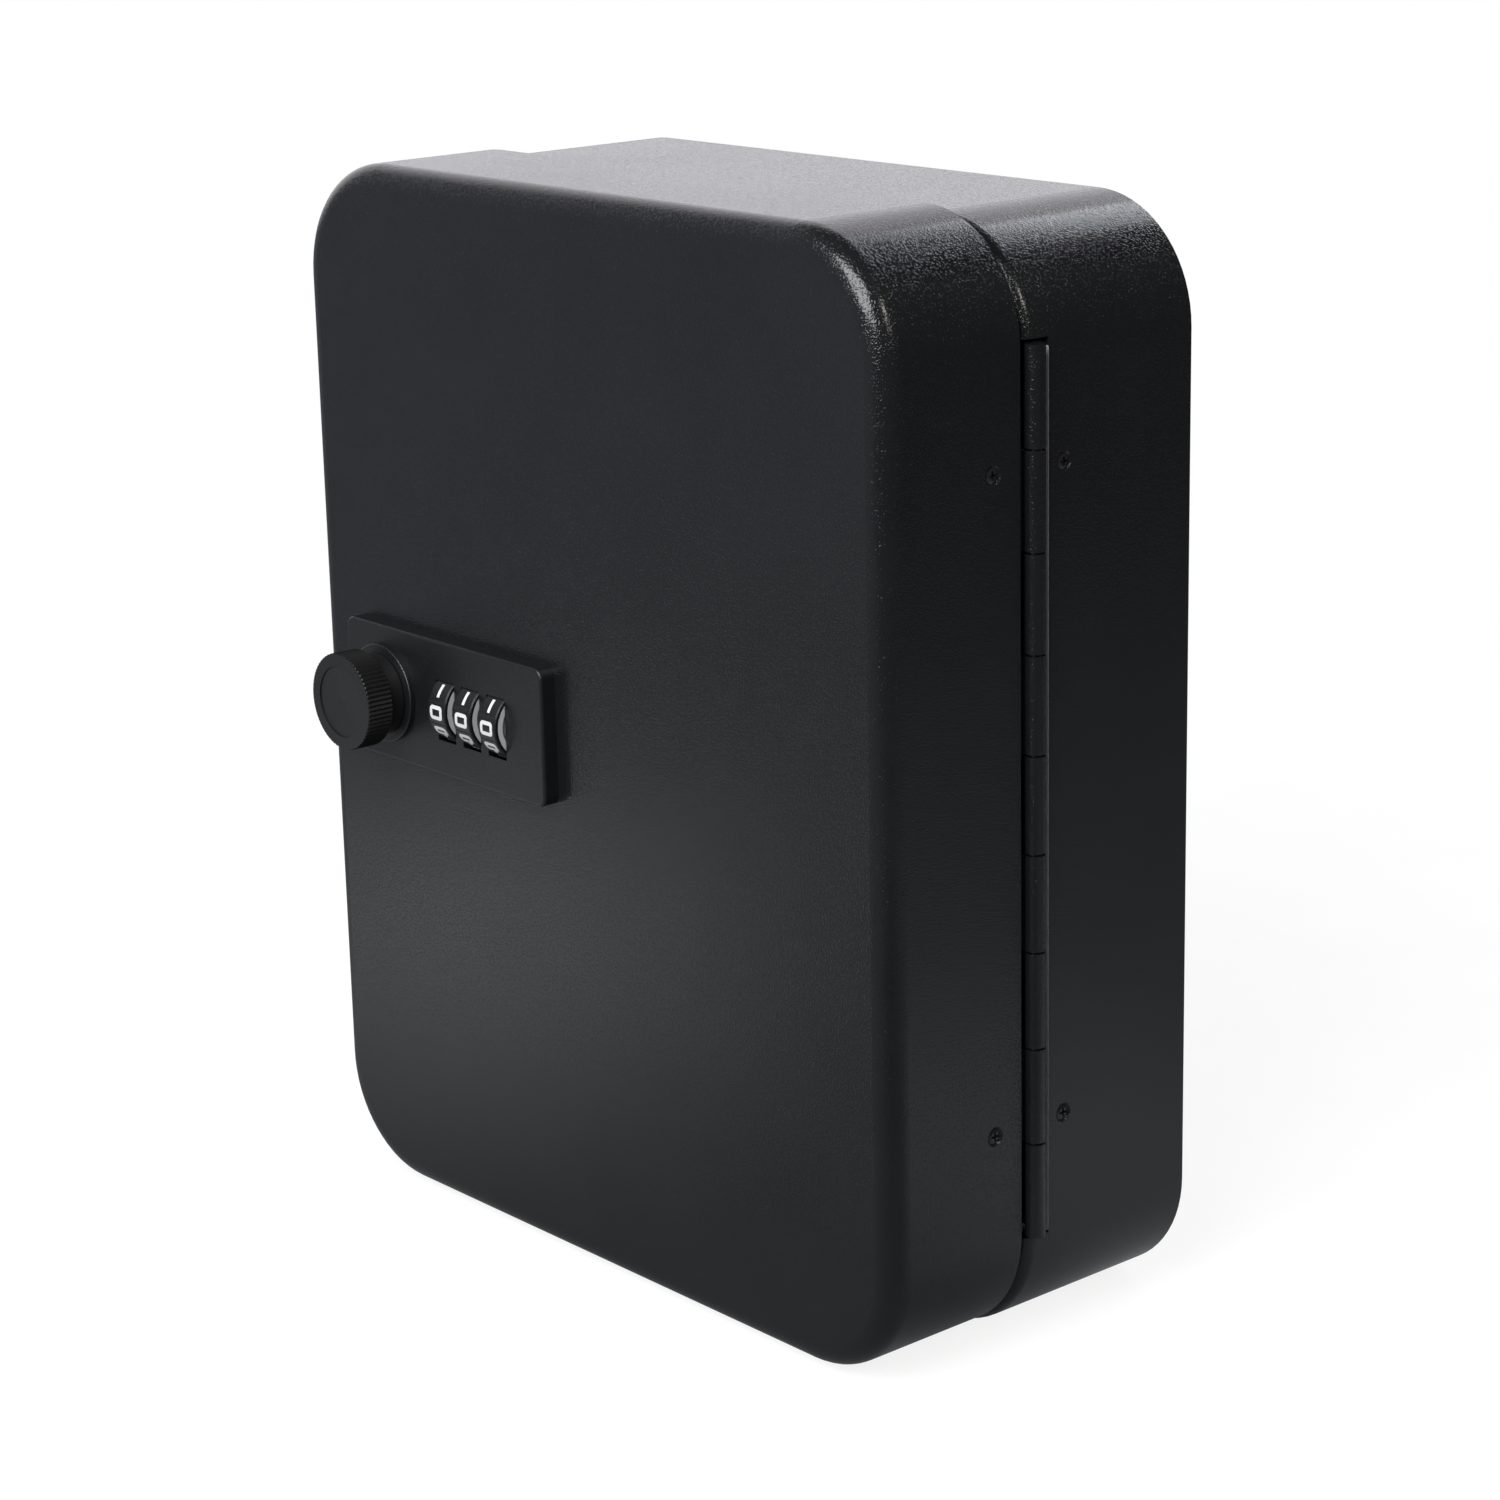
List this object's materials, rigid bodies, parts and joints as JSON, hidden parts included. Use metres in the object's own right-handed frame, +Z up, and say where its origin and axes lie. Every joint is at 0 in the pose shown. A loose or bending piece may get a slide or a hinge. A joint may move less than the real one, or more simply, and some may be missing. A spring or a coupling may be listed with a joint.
{
  "type": "key cabinet",
  "caption": "Black steel wall key cabinet with rounded corners: a deep door on a piano hinge, and a combination lock plate with number wheels and a knurled turn knob.",
  "frame": {"origin": "centre of the back face, which lies against the wall", "axes": "+Z up, +Y into the wall, the front faces -Y, +X towards the hinge side"},
  "size_m": [0.2026, 0.107, 0.251],
  "materials": {
    "powder_coat": "black powder coat with a fine orange-peel grain",
    "black_screws": "black, satin",
    "lock_black": "black satin paint on a casting",
    "knob_black": "satin black",
    "ring_black": "black with white digits",
    "core_grey": "satin light grey",
    "housing_black": "matt black",
    "plated_steel": "zinc plated"
  },
  "bodies": {
    "case": {"body_shell": "powder_coat", "back_panel": "powder_coat", "hook_rail_1": "plated_steel", "hook_rail_2": "plated_steel", "hook_rail_3": "plated_steel", "hook_rail_4": "plated_steel", "hook_rail_5": "plated_steel", "hook_rail_6": "plated_steel", "rail_rivets": "plated_steel", "strike": "powder_coat", "strike_rivets": "plated_steel", "hinge_leaf_case": "powder_coat", "hinge_pin": "powder_coat", "hinge_screws_case": "black_screws", "hinge_nuts_case": "plated_steel"},
    "door": {"door_shell": "powder_coat", "hinge_leaf_door": "powder_coat", "hinge_screws_door": "black_screws", "hinge_nuts_door": "plated_steel", "lock_plate": "lock_black", "lock_housing": "housing_black", "lock_cover": "housing_black", "lock_screws": "plated_steel", "wheel_axle": "plated_steel", "detent_spring": "plated_steel"},
    "knob": {"knob": "knob_black", "spindle": "plated_steel", "latch_cam": "plated_steel", "cam_washer": "plated_steel", "cam_screw": "plated_steel"},
    "wheel_1": {"number_ring_1": "ring_black", "code_core_1": "core_grey"},
    "wheel_2": {"number_ring_2": "ring_black", "code_core_2": "core_grey"},
    "wheel_3": {"number_ring_3": "ring_black", "code_core_3": "core_grey"},
    "fence": {"fence": "plated_steel"},
    "reset": {"reset_slider": "housing_black"}
  },
  "joints": [
    {"name": "door_hinge", "type": "hinge", "parent": "case", "child": "door", "pos_m": [0.1003, -0.0475, 0], "axis": [0, 0, 1], "range_deg": [0, 180]},
    {"name": "knob_turn", "type": "hinge", "parent": "door", "child": "knob", "pos_m": [-0.0694, -0.09, 0.00305], "axis": [0, 1, 0], "range_deg": [0, 90]},
    {"name": "wheel_1_turn", "type": "hinge", "parent": "door", "child": "wheel_1", "pos_m": [-0.0455, -0.0885, 0.00305], "axis": [1, 0, 0], "continuous": true},
    {"name": "wheel_2_turn", "type": "hinge", "parent": "door", "child": "wheel_2", "pos_m": [-0.0359, -0.0885, 0.00305], "axis": [1, 0, 0], "continuous": true},
    {"name": "wheel_3_turn", "type": "hinge", "parent": "door", "child": "wheel_3", "pos_m": [-0.0263, -0.0885, 0.00305], "axis": [1, 0, 0], "continuous": true},
    {"name": "fence_slide", "type": "slide", "parent": "door", "child": "fence", "axis": [0, 0, 1], "range_m": [-0.0006, 0]},
    {"name": "reset_slide", "type": "slide", "parent": "door", "child": "reset", "axis": [0, 0, 1], "range_m": [0, 0.0035]}
  ],
  "couplings": [
    {"joint": "fence_slide", "follows": "knob_turn", "m_per_rad": -0.00038}
  ]
}
